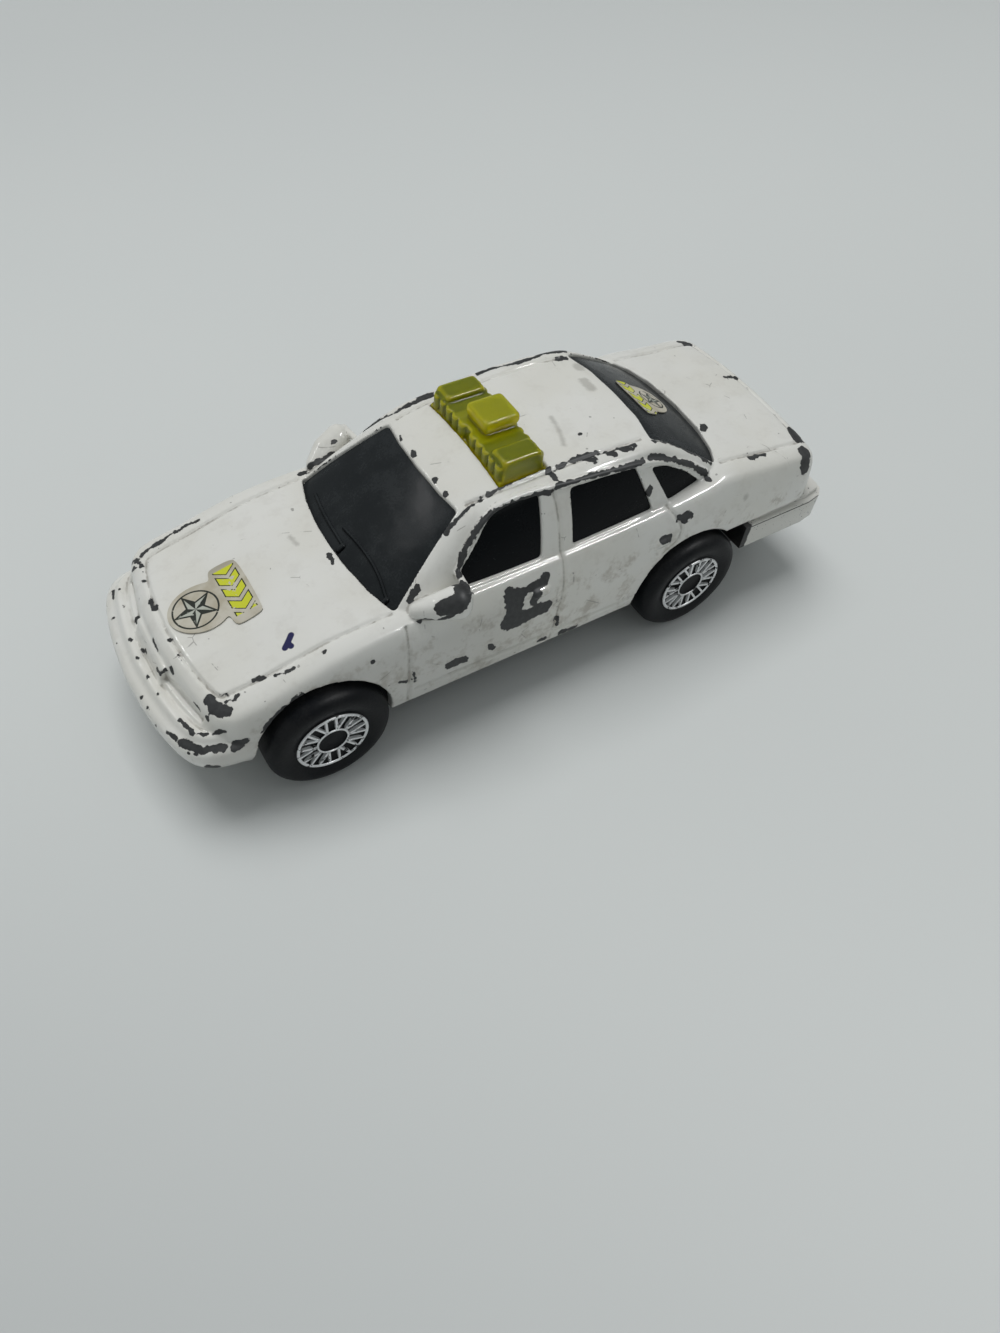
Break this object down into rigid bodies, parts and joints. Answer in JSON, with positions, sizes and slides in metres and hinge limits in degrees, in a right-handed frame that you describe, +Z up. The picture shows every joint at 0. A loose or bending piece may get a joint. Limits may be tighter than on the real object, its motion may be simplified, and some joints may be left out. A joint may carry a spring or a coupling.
{
  "type": "toy police car",
  "caption": "Small die-cast toy police saloon with cast-in doors, black window moulding, yellow-green roof light bar, riveted black plastic base and free-rolling plastic wheels.",
  "frame": {"origin": "on the floor under the middle of the car's bounding box, so the wheels stand on z = 0", "axes": "+X towards the front bumper, +Y towards the car's left side, +Z up"},
  "size_m": [0.0744, 0.027, 0.0259],
  "materials": {
    "enamel": "warm white gloss enamel on zinc alloy, chipped at the edges",
    "black_glass": "semi-gloss opaque black moulding",
    "lamp_plastic": "translucent yellow-green plastic, scuffed",
    "base_plastic": "satin black plastic, the rear bumper painted white",
    "axle_steel": "bright drawn wire",
    "wheel_plastic": "satin black plastic with a silver foil lace on the face",
    "label_paper": null
  },
  "bodies": {
    "car": {"body_casting": "enamel", "window_moulding": "black_glass", "light_bar": "lamp_plastic", "base_plate": "base_plastic", "front_axle": "axle_steel", "rear_axle": "axle_steel", "hood_label": "label_paper", "rear_window_label": "label_paper"},
    "front_left": {"wheel_front_left": "wheel_plastic"},
    "front_right": {"wheel_front_right": "wheel_plastic"},
    "rear_left": {"wheel_rear_left": "wheel_plastic"},
    "rear_right": {"wheel_rear_right": "wheel_plastic"}
  },
  "joints": [
    {"name": "front_left_roll", "type": "hinge", "parent": "car", "child": "front_left", "pos_m": [0.0232, 0.0114, 0.0061], "axis": [0, 1, 0], "continuous": true},
    {"name": "front_right_roll", "type": "hinge", "parent": "car", "child": "front_right", "pos_m": [0.0232, -0.0114, 0.0061], "axis": [0, 1, 0], "continuous": true},
    {"name": "rear_left_roll", "type": "hinge", "parent": "car", "child": "rear_left", "pos_m": [-0.0183, 0.0114, 0.0061], "axis": [0, 1, 0], "continuous": true},
    {"name": "rear_right_roll", "type": "hinge", "parent": "car", "child": "rear_right", "pos_m": [-0.0183, -0.0114, 0.0061], "axis": [0, 1, 0], "continuous": true}
  ]
}
